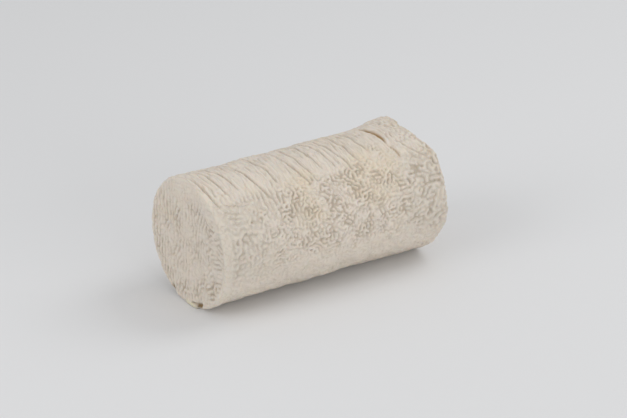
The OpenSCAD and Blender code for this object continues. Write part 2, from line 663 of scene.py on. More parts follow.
    def grow_long(self, sheet: WrinkleSheet) -> np.ndarray:
        """Grows the fewer and deeper grooves that wind among the wrinkles.

        Args:
            sheet: The side's sheet.

        Returns:
            The height field grown on it.
        """
        none = np.zeros((sheet.rows, sheet.columns))
        return sheet.grow(
            fine=self.long_spacing,
            coarse=self.long_spacing,
            fine_share=none,
            comb_across=none,
            comb_along=none,
            drive=self.long_drives[0].on(sheet) + self.long_drives[1].on(sheet),
            steps=self.steps,
            seed=self.seed + 1,
        )

    def long_share(self, places: RindPlaces) -> np.ndarray:
        """Where the deeper grooves wind.

        Args:
            places: Where the vertices lie.

        Returns:
            Their share at each vertex, from 0 to 1.
        """
        front = self.long_round.share(places.angle)
        middle = self.long_along.share(places.along)
        behind = self.long_back_round.share(turn_from(BACK_ANGLE, places.angle))
        over_front = front * (self.long_at_ends + (1.0 - self.long_at_ends) * middle)
        return np.clip(over_front + self.long_at_back * behind, 0.0, 1.0)

    def band_share(self, sheet: WrinkleSheet, angle: np.ndarray) -> np.ndarray:
        """The band across the top where the wrinkles run round the log, ragged at its edges.

        Args:
            sheet: The side's sheet.
            angle: The angle of each of its places.

        Returns:
            The band's share over the sheet, from 0 to 1.
        """
        edge = self.band_end + self.band_end_edges[0].on(sheet) + self.band_end_edges[1].on(sheet)
        edge -= self.band_narrowing * ease(*self.narrowing_along, sheet.place_along)
        start = self.band_start + self.band_start_edge.on(sheet)
        rise = ease(*self.band_rise, angle - start)
        band = rise * (1.0 - ease(*self.band_fall, angle - edge))
        return band * (1.0 - self.band_lost_beyond * ease(*self.beyond_along, sheet.place_along))

    def middle_share(self, places: RindPlaces) -> np.ndarray:
        """The share of the crinkled middle of the front at each vertex, from 0 to 1."""
        return self.crinkled_round.share(places.angle) * self.crinkled_along.share(places.along)

    def dullness(self, places: RindPlaces) -> np.ndarray:
        """How dull the rind is at each vertex, most at both ends of the front."""
        front = self.dull_round.share(places.angle)
        return front * (1.0 - self.bright_along.share(places.along)) * places.on_side()

    def band_at(self, places: RindPlaces) -> np.ndarray:
        """The share of the band across the top at each vertex, from 0 to 1."""
        return self.band_round.share(places.angle) * places.on_side()

    def depth(
        self, places: RindPlaces, patches: np.ndarray, breaks: np.ndarray
    ) -> np.ndarray:
        """How deep the wrinkles are at each vertex.

        Args:
            places: Where the vertices lie.
            patches: Soft unevenness that makes some grooves deeper than others.
            breaks: Where the grooves are broken off, from 0 to 1.

        Returns:
            Depths in mm.
        """
        angle = places.angle
        along = places.along
        band = self.band_round.share(angle)
        front = self.front_round.share(angle)
        low = self.low_round.share(angle)
        behind = 1.0 - band - front - low
        middle = self.deep_along.share(along)
        ends = self.near_depth + (self.far_depth - self.near_depth) * ease(*self.near_to_far, along)
        across_front = ends + (self.middle_depth - ends) * middle
        depth = self.band_depth * band + across_front * front
        depth += self.low_depth * low + self.back_depth * behind
        depth *= patchy(patches)
        depth *= 1.0 + self.lip_gain * band * ease(*self.lip_along, along)
        depth *= 1.0 - breaks * (self.broken + (self.broken_middle - self.broken) * middle * front)
        return depth * self.depth_left_at_edges(places)

    def depth_left_at_edges(self, places: RindPlaces) -> np.ndarray:
        """How much of their depth the wrinkles keep over the foot and at the rims.

        Args:
            places: Where the vertices lie.

        Returns:
            The share at each vertex, from 0 to 1.
        """
        off_foot = ease(*self.foot_turns, np.abs(turn_from(FOOT_ANGLE, places.angle)))
        smooth = self.smooth_rim_round.share(places.angle)
        past_rim = places.along - (self.rim_line + self.smooth_rim_setback * smooth)
        off_rim = ease(0.0, self.rim_fade + self.smooth_rim_fade * smooth, past_rim)
        return off_foot * off_rim * (1.0 - ease(*self.over_rim, places.inward))


@dataclass
class FaceRind:
    """The wrinkles of one end face. Lengths are in mm.

    They stand upright over most of the face, and lie level toward its front.
    """

    end: End
    sheet_side: float = 60.0
    spacing: float = 1.8
    steps: int = 45
    seed: int = 66
    drive_strength: float = 0.10
    drive_scale: float = 1.4
    drive_seed: int = 40
    fine_drive: Mottle = Mottle(0.05, 0.7, 44)
    upright_comb: float = 0.22
    level_comb: float = 0.20
    level_from: Pair = (8.0, 17.0)
    depth: float = 0.84
    broken: float = 0.25
    sharpness: float = 2.4
    smooth_top: float = 0.66
    calm: float = 0.8
    calm_reach: Pair = (-0.2, 0.3)
    rim_margin: float = 0.4
    rim_fade: float = 1.8
    patches: Mottle = Mottle(1.0, 2.2, 74)
    breaks: Mottle = Mottle(1.0, 1.4, 75)

    def grow(self) -> tuple[WrinkleSheet, np.ndarray]:
        """Grows the wrinkles of this face.

        Returns:
            The sheet, whose first side runs upward, and the height field grown on it.
        """
        sheet = WrinkleSheet(across=self.sheet_side, along=self.sheet_side)
        level = ease(*self.level_from, -sheet.place_along)
        own_drive = Mottle(self.drive_strength, self.drive_scale, self.drive_seed + self.end.value)
        height = sheet.grow(
            fine=self.spacing,
            coarse=self.spacing,
            fine_share=np.ones_like(level),
            comb_across=self.upright_comb * (1.0 - level),
            comb_along=self.level_comb * level,
            drive=own_drive.on(sheet) + self.fine_drive.on(sheet),
            steps=self.steps,
            seed=self.seed + self.end.value,
        )
        return sheet, height

    def depth_at(
        self, places: RindPlaces, patches: np.ndarray, breaks: np.ndarray
    ) -> np.ndarray:
        """How deep this face's wrinkles are at each vertex.

        Args:
            places: Where the vertices lie.
            patches: Soft unevenness that makes some grooves deeper than others.
            breaks: Where the grooves are broken off, from 0 to 1.

        Returns:
            Depths in mm.
        """
        own_side = places.facing * self.end.value > 0.0
        radius = np.hypot(places.side, places.up)
        high = places.up / np.maximum(radius + places.inward, 1.0)
        low_edge, high_edge = (self.smooth_top + reach for reach in self.calm_reach)
        calm_top = 1.0 - self.calm * ease(low_edge, high_edge, high)
        depth = self.depth * patchy(patches) * calm_top
        depth *= 1.0 - self.broken * breaks
        rim_end = self.rim_margin + self.rim_fade
        return depth * own_side * ease(self.rim_margin, rim_end, places.inward)


@dataclass(frozen=True)
class ChippedRim:
    """The chip at the foot of the near rim, with its brown crust and the flake that hangs there.

    Lengths are in mm. The spans run across the face, and inward is the distance from the rim.
    """

    facing: Pair = (0.0, 0.4)
    highest: float = -18.0
    rim_width: Pair = (2.0, 3.2)
    crust_side: Span = Span(-9.6, -8.8, -6.2, -5.4)
    flake_side: Span = Span(-6.0, -5.2, 0.2, 2.2)
    crack_side: Span = Span(-7.0, -6.0, -3.2, -2.2)
    crack_inward: float = 2.4
    crack_slope: float = 0.12
    crack_pivot: float = -4.0
    crack_half: float = 0.35
    crack_mark: float = 0.8
    pit_side: float = 10.0
    pit_side_half: float = 1.0
    pit_inward: float = 1.2
    pit_inward_half: float = 1.2
    crust_depth: float = 0.9
    flake_lift: float = 0.35

    def crust(self, places: RindPlaces) -> np.ndarray:
        """Where the brown crust is.

        Args:
            places: Where the vertices lie.

        Returns:
            The crust's share at each vertex, from 0 to 1.
        """
        slope = self.crack_slope * (places.side - self.crack_pivot)
        crack = hill(places.inward - self.crack_inward - slope, self.crack_half)
        crack = self.crack_mark * (crack * self.crack_side.share(places.side))
        pit = hill(places.side - self.pit_side, self.pit_side_half)
        pit = pit * hill(places.inward - self.pit_inward, self.pit_inward_half)
        chip = self.crust_side.share(places.side) * self.at_rim(places)
        low = places.up < self.highest
        return np.maximum(chip, np.maximum(crack, pit) * low) * self.on_face(places)

    def flake(self, places: RindPlaces) -> np.ndarray:
        """The share of the pale flake at each vertex, from 0 to 1."""
        flake = self.flake_side.share(places.side) * self.on_face(places) * self.at_rim(places)
        return flake * (1.0 - self.crust(places))

    def on_face(self, places: RindPlaces) -> np.ndarray:
        """1 on the near face, and fading to 0 over its rim."""
        return ease(*self.facing, -places.facing) * (places.along < 0.0)

    def at_rim(self, places: RindPlaces) -> np.ndarray:
        """1 close to the lowest part of the rim, and 0 away from it."""
        near_rim, off_rim = self.rim_width
        return ease(-off_rim, -near_rim, -places.inward) * (places.up < self.highest)


@dataclass(frozen=True)
class RindMap:
    """The flat map of the rind: its side as one sheet cut along the foot, and two discs.

    Lengths are in metres, on the map as on the rind, until they are divided by its side.
    """

    axis_side: float
    axis_height: float
    radius: float
    side: float = 162.0 * MM
    edge: float = 1.5 * MM
    sheet_half: float = 50.5 * MM
    disc_floor: float = 103.0 * MM
    disc_half: float = 25.6 * MM
    disc_facing: float = 0.72
    disc_place: float = 40.0 * MM

    def lay_out(self, piece: bpy.types.Object) -> None:
        """Gives a piece its flat map.

        Args:
            piece: The piece.
        """
        mesh = piece.data
        layer = mesh.uv_layers.new(name="OFBake")
        for face in mesh.polygons:
            middle = face.center
            on_end = abs(face.normal.x) > self.disc_facing and abs(middle.x) > self.disc_place
            for corner in face.loop_indices:
                point = mesh.vertices[mesh.loops[corner].vertex_index].co
                if on_end:
                    across, upward = self.on_disc(point, middle)
                else:
                    across, upward = self.on_sheet(point, middle)
                layer.data[corner].uv = (across / self.side, upward / self.side)

    def on_disc(self, point: Vector, middle: Vector) -> Pair:
        """Where a point of an end face lies on the map.

        Args:
            point: The point.
            middle: The middle of its face.

        Returns:
            Its distances across and up the map.
        """
        disc_middle = self.edge + self.disc_half
        start = disc_middle if middle.x < 0.0 else 3.0 * disc_middle
        across = start + point.y - self.axis_side
        return across, self.disc_floor + self.edge + disc_middle + point.z - self.axis_height

    def on_sheet(self, point: Vector, middle: Vector) -> Pair:
        """Where a point of the round side lies on the map.

        Args:
            point: The point.
            middle: The middle of its face.

        Returns:
            Its distances across and up the map.
        """
        turn = self.turn_from_foot(point)
        turn += round((self.turn_from_foot(middle) - turn) / FULL_TURN) * FULL_TURN
        girth = 2.0 * math.pi * self.radius
        return self.edge + turn / FULL_TURN * girth, self.edge + self.sheet_half + point.x

    def turn_from_foot(self, point: Vector) -> float:
        """The angle of a point round the log, from its foot, in degrees."""
        angle = math.degrees(math.atan2(point.z - self.axis_height, point.y - self.axis_side))
        return (angle + QUARTER_TURN) % FULL_TURN


@dataclass
class CheeseLog:
    """The whole cheese: its shape from the CAD log, its relief and the marks for its finish.

    Lengths are in mm, apart from those that are given in metres by MM.
    """

    name: str = "goat_cheese_log"
    node: str = "cheese_log"
    axis_height: float = AXIS_HEIGHT
    axis_side: float = AXIS_SIDE
    radius: float = 25.2 * MM
    merge_distance: float = 0.001 * MM
    guide_levels: int = 3
    facets_round: int = 44
    facets_along: int = 30
    facets_across_end: int = 11
    doublings: int = 3
    least_length: float = 1.0 * MM
    end_slack: float = 0.1 * MM
    smoothing: float = 0.5
    smoothing_rounds: int = 2
    end_facing: Pair = (0.25, 0.6)

    sharpness: float = 2.0
    crinkle: float = 0.6
    groove_mark_limit: float = 1.2
    patches: Mottle = Mottle(1.0, 2.2, 71)
    breaks: Mottle = Mottle(1.0, 1.4, 73)
    break_range: Pair = (-0.9, 0.4)
    stray_round: Mottle = Mottle(0.16, 1.1, 91)
    stray_along: Mottle = Mottle(0.16, 1.1, 92)

    lump_depth: float = 0.09
    rough_depth: float = 0.13
    lumps: Mottle = Mottle(1.0, 1.5, 95)
    lump_base: float = 1.2
    lump_limit: float = 2.4
    lump_foot: Pair = (12.0, 30.0)
    rough_low_round: Span = Span(196.0, 212.0, 238.0, 250.0)
    rough_rim_along: Pair = (42.0, 46.0)
    rough_rim_end: Pair = (150.0, 200.0)

    # crease_mark and streak_mark also set how much painted shade the finish lays into the creases
    # and streaks.
    crease_mark: float = 0.5
    streak_mark: float = 0.8
    corner_stain: Spot = Spot(46.6, 131.0, 1.8, 5.0)
    corner_stain_share: float = 0.3

    ridge_round: Span = Span(140.0, 158.0, 216.0, 232.0)
    ridge_places: Pair = (-48.0, -46.9)
    ridge_half: float = 0.32
    ridge_height: float = 0.22
    lip_setback: float = 1.5
    lip_half: float = 0.85
    lip_height: float = 0.22

    pinhole_along: float = -35.6
    pinhole_round: float = 65.7
    pinhole_half: float = 0.5
    # The pinhole is carved and painted dark with the crust colour.
    pinhole_dark: float = 0.8
    pinhole_depth: float = 0.5

    ripe_edge: Mottle = Mottle(1.0, 5.0, 81)
    ripe_along: Span = Span(-22.0, -10.0, 20.0, 40.0)
    ripe_round: Span = Span(104.0, 124.0, 148.0, 172.0)
    ripe_front: Pair = (0.75, 0.35)
    ripe_all_over: float = 0.18
    ripe_corner: Spot = Spot(46.0, 134.0, 3.4, 14.0)
    ripe_top: Spot = Spot(47.5, 88.0, 3.0, 26.0)
    ripe_top_share: float = 0.7

    carve_limit: float = 2.4 * MM
    raise_limit: float = 1.2 * MM
    side: SideRind = field(default_factory=SideRind)
    near_face: FaceRind = field(default_factory=lambda: FaceRind(End.NEAR))
    far_face: FaceRind = field(
        default_factory=lambda: FaceRind(End.FAR, depth=0.72, smooth_top=2.0)
    )
    chipped_rim: ChippedRim = ChippedRim()

    def build(self) -> bpy.types.Object:
        """Makes the log's mesh, its relief and its marks.

        Returns:
            The finished piece, still without its material.
        """
        guide = self.smooth_guide()
        piece = self.start_shape()
        self.draw_onto(piece, guide)
        bpy.data.objects.remove(guide)
        LOG.info("%s: plain shape, drawn onto the CAD log", piece.name)
        self.add_relief(piece)
        self.flatten_foot(piece)
        LOG.info("%s: wrinkles, creases, fold and chipped rim", piece.name)
        RindMap(self.axis_side, self.axis_height, self.radius).lay_out(piece)
        make_active(piece)
        bpy.ops.object.shade_smooth()
        return piece

    def smooth_guide(self) -> bpy.types.Object:
        """Makes a merged, smoothed copy of the CAD log, to draw the piece onto.

        Returns:
            The copy.
        """
        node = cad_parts[self.node]
        guide = bpy.data.objects.new("guide", node.data.copy())
        bpy.context.scene.collection.objects.link(guide)
        make_active(guide)
        bpy.ops.object.mode_set(mode="EDIT")
        bpy.ops.mesh.select_all(action="SELECT")
        bpy.ops.mesh.remove_doubles(threshold=self.merge_distance)
        bpy.ops.mesh.tris_convert_to_quads()
        bpy.ops.object.mode_set(mode="OBJECT")
        levels = self.guide_levels
        apply_modifier(guide, "SUBSURF", levels=levels, render_levels=levels)
        return guide

    def start_shape(self) -> bpy.types.Object:
        """Makes a plain round bar at the log's size and place, with even faces all over.

        Returns:
            The bar.
        """
        low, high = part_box(self.node)
        middle = Vector(((low.x + high.x) / 2, self.axis_side, self.axis_height))
        deselect_all()
        bpy.ops.mesh.primitive_cylinder_add(
            vertices=self.facets_round,
            radius=self.radius,
            depth=high.x - low.x,
            end_fill_type="NOTHING",
            location=middle,
            rotation=(0.0, math.radians(QUARTER_TURN), 0.0),
        )
        piece = bpy.context.active_object
        piece.name = self.name
        piece.data.name = self.name
        bpy.ops.object.transform_apply(location=True, rotation=True, scale=True)
        bpy.ops.object.mode_set(mode="EDIT")
        bpy.ops.mesh.select_mode(type="EDGE")
        self.select_edges(piece, lambda a, b: abs(a.x - b.x) > self.least_length)
        bpy.ops.mesh.subdivide(number_cuts=self.facets_along - 1)
        for end in End:
            rim = low.x if end is End.NEAR else high.x
            self.select_edges(
                piece, lambda a, b, x=rim: abs(a.x - x) + abs(b.x - x) < self.end_slack
            )
            bpy.ops.mesh.fill_grid(span=self.facets_across_end, offset=0)
        bpy.ops.mesh.select_all(action="SELECT")
        bpy.ops.mesh.normals_make_consistent(inside=False)
        bpy.ops.object.mode_set(mode="OBJECT")
        return piece

    def select_edges(
        self, piece: bpy.types.Object, wanted: Callable[[Vector, Vector], bool]
    ) -> None:
        """Selects the edges of a piece in edit mode by where their two ends are.

        Args:
            piece: The piece, which is in edit mode.
            wanted: Takes both ends of an edge, and says if the edge is wanted.
        """
        bpy.ops.mesh.select_all(action="DESELECT")
        bpy.ops.object.mode_set(mode="OBJECT")
        points = piece.data.vertices
        for edge in piece.data.edges:
            edge.select = wanted(points[edge.vertices[0]].co, points[edge.vertices[1]].co)
        bpy.ops.object.mode_set(mode="EDIT")

    def draw_onto(self, piece: bpy.types.Object, guide: bpy.types.Object) -> None:
        """Draws the bar onto the guide, halving its faces each time.

        Args:
            piece: The bar.
            guide: The smooth shape to follow.
        """
        for _ in range(self.doublings):
            apply_modifier(
                piece, "SUBSURF", subdivision_type="SIMPLE", levels=1, render_levels=1
            )
            apply_modifier(
                piece, "SHRINKWRAP", target=guide, wrap_method="NEAREST_SURFACEPOINT"
            )
        apply_modifier(
            piece, "SMOOTH", factor=self.smoothing, iterations=self.smoothing_rounds
        )

    def places(self, piece: bpy.types.Object) -> RindPlaces:
        """Finds where each vertex of the piece lies on the rind.

        Args:
            piece: The smooth log.

        Returns:
            The places of its vertices.
        """
        mesh = piece.data
        points = np.empty(len(mesh.vertices) * 3)
        mesh.vertices.foreach_get("co", points)
        points = points.reshape(-1, 3) / MM
        facing = np.array([vertex.normal.x for vertex in mesh.vertices])
        side = points[:, 1] - self.axis_side / MM
        up = points[:, 2] - self.axis_height / MM
        angle = np.degrees(np.arctan2(up, side)) % FULL_TURN
        inward = np.maximum(0.0, self.radius / MM - np.hypot(side, up))
        inward = inward * ease(*self.end_facing, np.abs(facing))
        along = points[:, 0] + np.sign(points[:, 0]) * inward
        return RindPlaces(along, angle, inward, side, up, facing)

    def add_relief(self, piece: bpy.types.Object) -> None:
        """Carves and raises the rind, and leaves the marks for its finish.

        Args:
            piece: The smooth log.
        """
        places = self.places(piece)
        sheet, height = self.side.grow()
        laid = LaidOut(sheet, places.angle / FULL_TURN * self.side.girth, places.along)
        astray = LaidOut(
            sheet,
            laid.across + laid.mottle(self.stray_round),
            laid.along + laid.mottle(self.stray_along),
        )
        relief = self.side_wrinkles(places, laid, astray.read(height))
        for face in (self.near_face, self.far_face):
            self.add_face_wrinkles(relief, places, face)
        self.add_long_grooves(relief, places, astray)
        self.add_roughness(relief, places, laid)
        self.add_creases(relief, places, laid)
        self.add_chips(relief, places, laid)
        self.push(piece, "carved", relief.carve / (self.carve_limit / MM), -self.carve_limit)
        self.push(piece, "raised", relief.lift / (self.raise_limit / MM), self.raise_limit)
        marks = {
            Mark.GROOVE: relief.groove,
            Mark.RIPE: self.ripeness(places, laid),
            Mark.STAIN: relief.stain,
            Mark.CRUST: relief.crust,
            Mark.FLAKE: relief.flake,
            Mark.BAND: self.side.band_at(places),
            Mark.DULL: self.side.dullness(places),
        }
        for mark, values in marks.items():
            layer = piece.data.attributes.new(mark.value, "FLOAT", "POINT")
            layer.data.foreach_set("value", np.clip(values, 0.0, 1.0).astype(np.float32))

    def side_wrinkles(self, places: RindPlaces, laid: LaidOut, ridge: np.ndarray) -> Relief:
        """Starts the relief with the wrinkles of the round side.

        Args:
            places: Where the vertices lie.
            laid: The vertices laid out on the side's sheet.
            ridge: The height of the grown skin at each vertex, from 0 to 1.

        Returns:
            The relief so far, with the ridges and the lip that are raised.
        """
        breaks = 1.0 - ease(*self.break_range, laid.mottle(self.breaks))
        depth = self.side.depth(places, laid.mottle(self.patches), breaks)
        sharpness = self.sharpness - self.crinkle * self.side.middle_share(places)
        return Relief(
            carve=depth * (1.0 - ridge) ** sharpness,
            groove=(1.0 - ridge) * self.groove_strength(depth),
            lift=self.raised_rind(places),
            stain=np.zeros_like(depth),
            crust=np.zeros_like(depth),
            flake=np.zeros_like(depth),
        )

    def groove_strength(self, depth: np.ndarray) -> np.ndarray:
        """How strongly a groove of each depth is marked."""
        # It also sets how much painted shade the finish lays into the groove.
        return np.clip(depth / self.side.middle_depth, 0.0, self.groove_mark_limit)

    def add_face_wrinkles(self, relief: Relief, places: RindPlaces, face: FaceRind) -> None:
        """Adds the wrinkles of one end face.

        Args:
            relief: The relief to add to.
            places: Where the vertices lie.
            face: The face.
        """
        sheet, height = face.grow()
        laid = LaidOut(sheet, places.up + face.sheet_side / 2, places.side)
        ridge = laid.read(height)
        breaks = 1.0 - ease(*self.break_range, laid.mottle(face.breaks))
        depth = face.depth_at(places, laid.mottle(face.patches), breaks)
        relief.carve += depth * (1.0 - ridge) ** face.sharpness
        relief.groove += (1.0 - ridge) * self.groove_strength(depth)

    def add_long_grooves(self, relief: Relief, places: RindPlaces, astray: LaidOut) -> None:
        """Adds the deeper grooves that wind among the wrinkles.

        Args:
            relief: The relief to add to.
            places: Where the vertices lie.
            astray: The vertices laid out on the side's sheet, each a little astray.
        """
        side = self.side
        ridge = astray.read(side.grow_long(astray.sheet))
        share = side.long_share(places)
        groove = (1.0 - ridge) ** side.long_sharpness
        relief.carve += side.long_depth * share * groove
        relief.groove = np.maximum(relief.groove, side.long_mark * share * groove)

    def add_roughness(self, relief: Relief, places: RindPlaces, laid: LaidOut) -> None:
        """Adds small lumps all round, stronger low on the front and at the far rim.

        Args:
            relief: The relief to add to.
            places: Where the vertices lie.
            laid: The vertices laid out on the side's sheet.
        """
        off_foot = ease(*self.lump_foot, np.abs(turn_from(FOOT_ANGLE, places.angle)))
        low_front = self.rough_low_round.share(places.angle)
        far_rim = ease(*self.rough_rim_along, places.along)
        far_rim = far_rim * (1.0 - ease(*self.rough_rim_end, places.angle))
        rough = self.lump_depth + self.rough_depth * np.maximum(low_front, far_rim)
        lumps = np.clip(laid.mottle(self.lumps) + self.lump_base, 0.0, self.lump_limit)
        relief.carve += rough * lumps * off_foot

    def add_creases(self, relief: Relief, places: RindPlaces, laid: LaidOut) -> None:
        """Adds the creases across the top, the deep fold, the streaks and the corner's stain.

        Args:
            relief: The relief to add to.
            places: Where the vertices lie.
            laid: The vertices laid out on the side's sheet.
        """
        for index, crease in enumerate(self.side.creases()):
            along = places.along - laid.mottle(self.side.crease_wobble(index))
            share = crease.share(along, places.angle, crease.width) * places.on_side()
            mark = min(1.0, self.crease_mark + crease.depth)
            relief.cut(share, crease.depth, mark, crease.stain)
        corner = self.corner_stain.share(places)
        relief.stain = np.maximum(relief.stain, self.corner_stain_share * corner)
        arc = self.side.girth / FULL_TURN
        for streak in self.side.streaks():
            share = streak.share(places.along, places.angle, arc)
            relief.cut(share, streak.depth, self.streak_mark)

    def add_chips(self, relief: Relief, places: RindPlaces, laid: LaidOut) -> None:
        """Adds the chipped rim with its flake, and the pinhole in the front.

        Args:
            relief: The relief to add to.
            places: Where the vertices lie.
            laid: The vertices laid out on the side's sheet.
        """
        rim = self.chipped_rim
        crust = rim.crust(places)
        relief.flake = rim.flake(places)
        pinhole = hill(places.along - self.pinhole_along, self.pinhole_half)
        pinhole = pinhole * hill(laid.across - self.pinhole_round, self.pinhole_half)
        chip = np.maximum(rim.crust_depth * crust, self.pinhole_depth * pinhole)
        # The pinhole is painted dark with the crust colour, beside the chip's own crust.
        relief.crust = np.maximum(crust, self.pinhole_dark * pinhole)
        left = 1.0 - np.clip(relief.crust + relief.flake, 0.0, 1.0)
        relief.carve = relief.carve * left + chip
        relief.lift = relief.lift + rim.flake_lift * relief.flake

    def raised_rind(self, places: RindPlaces) -> np.ndarray:
        """How high the fine ridges beside the near rim and the lip beyond the fold stand.

        Args:
            places: Where the vertices lie.

        Returns:
            Heights in mm.
        """
        first, second = self.ridge_places
        ridges = hill(places.along - first, self.ridge_half)
        ridges = ridges + hill(places.along - second, self.ridge_half)
        fold = self.side.fold()
        beyond = places.along - fold.line(places.angle) - self.lip_setback
        lip = fold.window(places.angle) * hill(beyond, self.lip_half)
        beside_rim = self.ridge_height * ridges * self.ridge_round.share(places.angle)
        return beside_rim + self.lip_height * lip

    def ripeness(self, places: RindPlaces, laid: LaidOut) -> np.ndarray:
        """How yellow the rind is at each vertex.

        Args:
            places: Where the vertices lie.
            laid: The vertices laid out on the side's sheet.

        Returns:
            The share of the riper colour, from 0 to 1.
        """
        uneven = laid.mottle(self.ripe_edge)
        front = self.ripe_along.share(places.along) * self.ripe_round.share(places.angle)
        even_share, uneven_share = self.ripe_front
        front = front * (even_share + uneven_share * uneven)
        top = self.ripe_top_share * self.ripe_top.share(places) * (1.0 + uneven)
        far_end = self.ripe_corner.share(places) + top
        return np.clip(front + self.ripe_all_over * uneven + far_end, 0.0, 1.0)

    def push(
        self, piece: bpy.types.Object, name: str, share: np.ndarray, distance: float
    ) -> None:
        """Moves the rind along its own direction by a share of a distance at each vertex.

        Args:
            piece: The piece.
            name: Name of the vertex group that holds the shares.
            share: The share for each vertex, from 0 to 1.
            distance: How far a full share moves, outward when above 0.
        """
        make_active(piece)
        group = piece.vertex_groups.new(name=name)
        for index, value in enumerate(np.clip(share, 0.0, 1.0).tolist()):
            if value > 0.0:
                group.add((index,), value, "REPLACE")
        apply_modifier(
            piece, "DISPLACE", vertex_group=name, strength=distance, mid_level=0.0
        )
        bpy.ops.object.vertex_group_remove(all=True)

    def flatten_foot(self, piece: bpy.types.Object) -> None:
        """Keeps the foot of the log on the floor and nothing under it.

        Args:
            piece: The piece.
        """
        mesh = piece.data
        points = np.empty(len(mesh.vertices) * 3)
        mesh.vertices.foreach_get("co", points)
        points = points.reshape(-1, 3)
        points[:, 2] = np.maximum(points[:, 2], 0.0)
        mesh.vertices.foreach_set("co", points.ravel())
        mesh.update()


class ShaderBench:
    """Adds shader nodes to one material and joins them."""

    FLOAT_A = 2
    FLOAT_B = 3
    FLOAT_RESULT = 0
    COLOUR_A = 6
    COLOUR_B = 7
    COLOUR_RESULT = 2
    NOISE_MIDDLE = 0.5

    def __init__(self, name: str) -> None:
        """Starts a material with its own Principled shader.

        Args:
            name: Name of the material.
        """
        self.material = bpy.data.materials.new(name)
        self.material.use_nodes = True
        self.tree = self.material.node_tree
        self.shader = self.tree.nodes["Principled BSDF"]

    def add(self, kind: str, **settings: object) -> bpy.types.Node:
        """Adds a node.

        Args:
            kind: Blender's name for the node's type.
            **settings: The node's own settings.

        Returns:
            The node.
        """
        node = self.tree.nodes.new(kind)
        for name, value in settings.items():
            setattr(node, name, value)
        return node

    def join(self, source: bpy.types.NodeSocket, target: bpy.types.NodeSocket) -> None:
        """Joins an output to an input."""
        self.tree.links.new(source, target)

    def mark(self, mark: Mark) -> bpy.types.NodeSocket:
        """Reads one of the mesh's own marks."""
        return self.add("ShaderNodeAttribute", attribute_name=mark.value).outputs["Fac"]

    def places(self) -> bpy.types.NodeSocket:
        """Places on the piece, in the shared frame."""
        return self.add("ShaderNodeTexCoord").outputs["Object"]

    def mottle(self, scale: float, detail: float, roughness: float = 0.5) -> bpy.types.NodeSocket:
        """Soft unevenness over the piece.

        Args:
            scale: Patches in a metre.
            detail: How many finer layers it has.
            roughness: How strong the finer layers are.

        Returns:
            The output, about 0.5 on average.
        """
        node = self.add("ShaderNodeTexNoise")
        node.inputs["Scale"].default_value = scale
        node.inputs["Detail"].default_value = detail
        node.inputs["Roughness"].default_value = roughness
        self.join(self.places(), node.inputs["Vector"])
        return node.outputs["Fac"]

    def lines(
        self, stretch: tuple[float, float, float], scale: float, half: float
    ) -> bpy.types.NodeSocket:
        """Thin winding lines, where soft unevenness passes through its own middle.

        Args:
            stretch: Share of the scale along each axis; lines run along the low ones.
            scale: Patches in a metre.
            half: How far from its middle the unevenness still counts as a line.

        Returns:
            The output, 1 along a line and 0 beside it.
        """
        mapping = self.add("ShaderNodeMapping")
        mapping.inputs["Scale"].default_value = stretch
        self.join(self.places(), mapping.inputs["Vector"])
        noise = self.add("ShaderNodeTexNoise")
        noise.inputs["Scale"].default_value = scale
        noise.inputs["Detail"].default_value = 1.0
        self.join(mapping.outputs["Vector"], noise.inputs["Vector"])
        offset = self.add("ShaderNodeMath", operation="SUBTRACT")
        offset.inputs[1].default_value = self.NOISE_MIDDLE
        self.join(noise.outputs["Fac"], offset.inputs[0])
        apart = self.add("ShaderNodeMath", operation="ABSOLUTE")
        self.join(offset.outputs[0], apart.inputs[0])
        return self.spread(apart.outputs[0], (0.0, half), (1.0, 0.0))

    def blend(
        self,
        first: bpy.types.NodeSocket,
        second: bpy.types.NodeSocket,
        share: bpy.types.NodeSocket,
    ) -> bpy.types.NodeSocket:
        """Passes from one value to another.

        Args:
            first: The value where the share is 0.
            second: The value where the share is 1.
            share: How far it has passed.

        Returns:
            The blended value.
        """
        node = self.add("ShaderNodeMix", data_type="FLOAT")
        self.join(share, node.inputs["Factor"])
        self.join(first, node.inputs[self.FLOAT_A])
        self.join(second, node.inputs[self.FLOAT_B])
        return node.outputs[self.FLOAT_RESULT]

    def spread(
        self, value: bpy.types.NodeSocket, before: Pair, after: Pair
    ) -> bpy.types.NodeSocket:
        """Stretches a value from one range onto another, and keeps it inside.

        Args:
            value: The value.
            before: The two ends of its own range.
            after: What each of them becomes.

        Returns:
            The stretched value.
        """
        node = self.add("ShaderNodeMapRange", clamp=True)
        node.inputs["From Min"].default_value = before[0]
        node.inputs["From Max"].default_value = before[1]
        node.inputs["To Min"].default_value = after[0]
        node.inputs["To Max"].default_value = after[1]
        self.join(value, node.inputs["Value"])
        return node.outputs["Result"]

    def tint(
        self,
        base: bpy.types.NodeSocket | Colour,
        over: Colour,
        share: bpy.types.NodeSocket,
    ) -> bpy.types.NodeSocket:
        """Lays one colour over another.

        Args:
            base: The colour below, or an output that gives it.
            over: The colour laid over it.
            share: How much of it shows.

        Returns:
            The mixed colour.
        """
        node = self.add("ShaderNodeMix", data_type="RGBA", blend_type="MIX")
        self.join(share, node.inputs["Factor"])
        if isinstance(base, tuple):
            node.inputs[self.COLOUR_A].default_value = (*base, 1.0)
        else:
            self.join(base, node.inputs[self.COLOUR_A])
        node.inputs[self.COLOUR_B].default_value = (*over, 1.0)
        return node.outputs[self.COLOUR_RESULT]

    def bump(
        self,
        height: bpy.types.NodeSocket,
        distance: float,
        below: bpy.types.NodeSocket | None = None,
        invert: bool = False,
    ) -> bpy.types.NodeSocket:
        """Adds relief too fine for the mesh.

        Args:
            height: The relief, from 0 to 1.
            distance: Its full height.
            below: The normal of the relief that it lies on.
            invert: True where it is carved and not raised.

        Returns:
            The normal.
        """
        node = self.add("ShaderNodeBump", invert=invert)
        node.inputs["Strength"].default_value = 1.0
        node.inputs["Distance"].default_value = distance
        self.join(height, node.inputs["Height"])
        if below is not None:
            self.join(below, node.inputs["Normal"])
        return node.outputs["Normal"]


